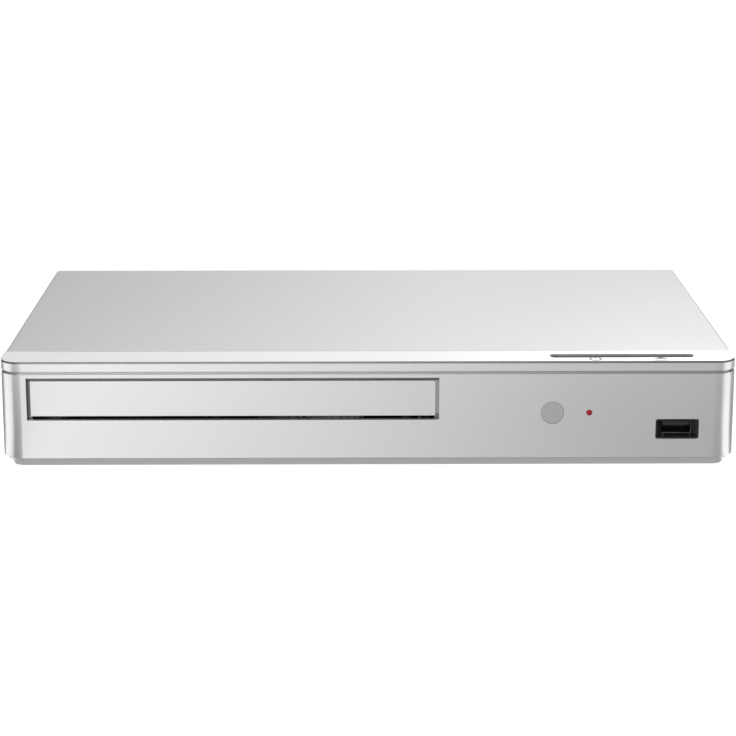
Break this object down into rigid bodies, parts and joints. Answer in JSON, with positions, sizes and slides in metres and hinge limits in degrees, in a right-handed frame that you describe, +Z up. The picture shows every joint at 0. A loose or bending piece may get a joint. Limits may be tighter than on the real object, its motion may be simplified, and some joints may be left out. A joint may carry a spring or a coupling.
{
  "type": "optical disc player",
  "caption": "Slim silver tabletop optical disc player: motorised disc tray behind a flush door, two top keys, front flash-drive socket, rear video, network and mains sockets.",
  "frame": {"origin": "centre of the bounding box's bottom face, on the surface the feet rest on", "axes": "+X to the viewer's right along the width, +Y from the front towards the rear, +Z up"},
  "size_m": [0.312, 0.19, 0.049],
  "materials": {
    "cover_silver": "satin silver paint",
    "panel_silver": "satin silver paint on moulding",
    "trim_silver": "satin silver paint on moulding",
    "door_silver": "satin silver paint on moulding",
    "steel_sheet": "zinc plated sheet",
    "rear_sheet": "dark grey paint",
    "foot_rubber": "matt rubber",
    "screw_steel": "plated",
    "tray_plastic": "fine grain",
    "window_grey": "smoky grey",
    "lamp_red": "translucent red",
    "bezel_black": "black moulding",
    "socket_metal": "plated",
    "dull_metal": "darkened plating",
    "socket_plastic": "moulded",
    "board_green": "solder mask",
    "board_brown": "paper laminate",
    "chip_black": "moulded",
    "key_grey": "dark grey moulding",
    "plunger_grey": "moulded",
    "frame_plastic": "filled plastic",
    "white_plastic": "acetal",
    "magnet_grey": "sintered",
    "motor_steel": "plated can",
    "pulley_brass": "turned",
    "belt_rubber": "ground",
    "rod_steel": "ground and polished",
    "pickup_grey": "die cast",
    "lens_glass": "coated",
    "ribbon_white": "film",
    "sink_aluminium": "extruded",
    "capacitor_sleeve": "heat-shrunk sleeve",
    "coil_yellow": "tape over ferrite"
  },
  "bodies": {
    "chassis": {"top_cover": "cover_silver", "front_panel": "panel_silver", "top_trim": "trim_silver", "base_plate": "steel_sheet", "rear_panel": "rear_sheet", "rubber_feet": "foot_rubber", "cover_screws": "screw_steel", "remote_window": "window_grey", "power_lamp_lens": "lamp_red", "front_socket_bezel": "bezel_black", "front_socket_shell": "dull_metal", "front_socket_tongue": "socket_plastic", "front_board": "board_green", "remote_receiver": "chip_black", "power_lamp": "lamp_red", "key_switches": "chip_black", "loader_frame": "frame_plastic", "clamper_bridge": "steel_sheet", "loading_motor": "motor_steel", "drive_belt": "belt_rubber", "loader_screws": "screw_steel", "pickup_ribbon": "ribbon_white", "main_board": "board_green", "processor": "chip_black", "heat_sink": "sink_aluminium", "board_capacitors": "capacitor_sleeve", "video_socket_shell": "socket_metal", "video_socket_tongue": "chip_black", "network_socket": "socket_metal", "power_board": "board_brown", "transformer": "coil_yellow", "filter_capacitor": "capacitor_sleeve", "fuse": "socket_metal", "ac_inlet": "bezel_black", "ac_pins": "socket_metal", "power_harness": "ribbon_white"},
    "tray": {"tray_door": "door_silver", "disc_tray": "tray_plastic"},
    "power_key": {"power_key": "key_grey", "power_plunger": "plunger_grey"},
    "eject_key": {"eject_key": "key_grey", "eject_plunger": "plunger_grey"},
    "clamper": {"clamper_disc": "white_plastic", "clamper_magnet": "magnet_grey", "clamper_cap": "white_plastic"},
    "motor_pulley": {"motor_pulley": "pulley_brass"},
    "pulley_gear": {"pulley_gear": "white_plastic"},
    "tray_gear": {"tray_gear": "white_plastic"},
    "cam_slider": {"cam_slider": "white_plastic"},
    "traverse": {"traverse_chassis": "frame_plastic", "guide_rods": "rod_steel", "spindle_motor": "motor_steel", "feed_motor": "motor_steel"},
    "turntable": {"turntable": "bezel_black", "centring_cone": "white_plastic"},
    "pickup": {"pickup_body": "pickup_grey", "screw_follower": "white_plastic"},
    "lens": {"lens_holder": "bezel_black", "lens": "lens_glass"},
    "feed_screw": {"feed_screw": "rod_steel"}
  },
  "joints": [
    {"name": "tray_slide", "type": "slide", "parent": "chassis", "child": "tray", "axis": [0, -1, 0], "range_m": [0, 0.131]},
    {"name": "power_key_press", "type": "slide", "parent": "chassis", "child": "power_key", "axis": [0, 0, -1], "range_m": [0, 0.0004], "stiffness_N_per_m": 3000},
    {"name": "eject_key_press", "type": "slide", "parent": "chassis", "child": "eject_key", "axis": [0, 0, -1], "range_m": [0, 0.0004], "stiffness_N_per_m": 3000},
    {"name": "traverse_lift", "type": "hinge", "parent": "chassis", "child": "traverse", "pos_m": [-0.0574, 0.062, 0.0198], "axis": [-1, 0, 0], "range_deg": [0, 6], "deforming": ["pickup_ribbon"]},
    {"name": "pickup_slide", "type": "slide", "parent": "traverse", "child": "pickup", "axis": [0, 0.9945, 0.1045], "range_m": [0, 0.034], "deforming": ["pickup_ribbon"]},
    {"name": "lens_focus", "type": "slide", "parent": "pickup", "child": "lens", "axis": [0, -0.1045, 0.9945], "range_m": [-0.0004, 0.0004], "stiffness_N_per_m": 150},
    {"name": "turntable_spin", "type": "hinge", "parent": "traverse", "child": "turntable", "pos_m": [-0.0574, -0.0248, 0.02294], "axis": [0, -0.1045, 0.9945], "continuous": true},
    {"name": "clamper_spin", "type": "hinge", "parent": "chassis", "child": "clamper", "pos_m": [-0.0574, -0.024, 0.0351], "axis": [0, 0, 1], "continuous": true},
    {"name": "cam_slide", "type": "slide", "parent": "chassis", "child": "cam_slider", "axis": [-1, 0, 0], "range_m": [0, 0.0261]},
    {"name": "tray_gear_spin", "type": "hinge", "parent": "chassis", "child": "tray_gear", "pos_m": [-0.0144, -0.069, 0.022], "axis": [0, 0, 1], "continuous": true},
    {"name": "pulley_gear_spin", "type": "hinge", "parent": "chassis", "child": "pulley_gear", "pos_m": [-0.0334, -0.069, 0.02], "axis": [0, 0, 1], "continuous": true},
    {"name": "motor_pulley_spin", "type": "hinge", "parent": "chassis", "child": "motor_pulley", "pos_m": [-0.0654, -0.069, 0.017], "axis": [0, 0, 1], "continuous": true},
    {"name": "feed_screw_spin", "type": "hinge", "parent": "traverse", "child": "feed_screw", "pos_m": [-0.0174, 0.00009, 0.01571], "axis": [0, 0.9945, 0.1045], "continuous": true}
  ],
  "couplings": [
    {"joint": "tray_gear_spin", "follows": "tray_slide", "rad_per_m": -76.923},
    {"joint": "pulley_gear_spin", "follows": "tray_slide", "rad_per_m": 166.67},
    {"joint": "motor_pulley_spin", "follows": "tray_slide", "rad_per_m": 632.22},
    {"joint": "cam_slide", "follows": "traverse_lift", "m_per_rad": 0.24828},
    {"joint": "feed_screw_spin", "follows": "pickup_slide", "rad_per_m": 2094.4},
    {"joint": "clamper_spin", "follows": "turntable_spin", "ratio": 1}
  ]
}
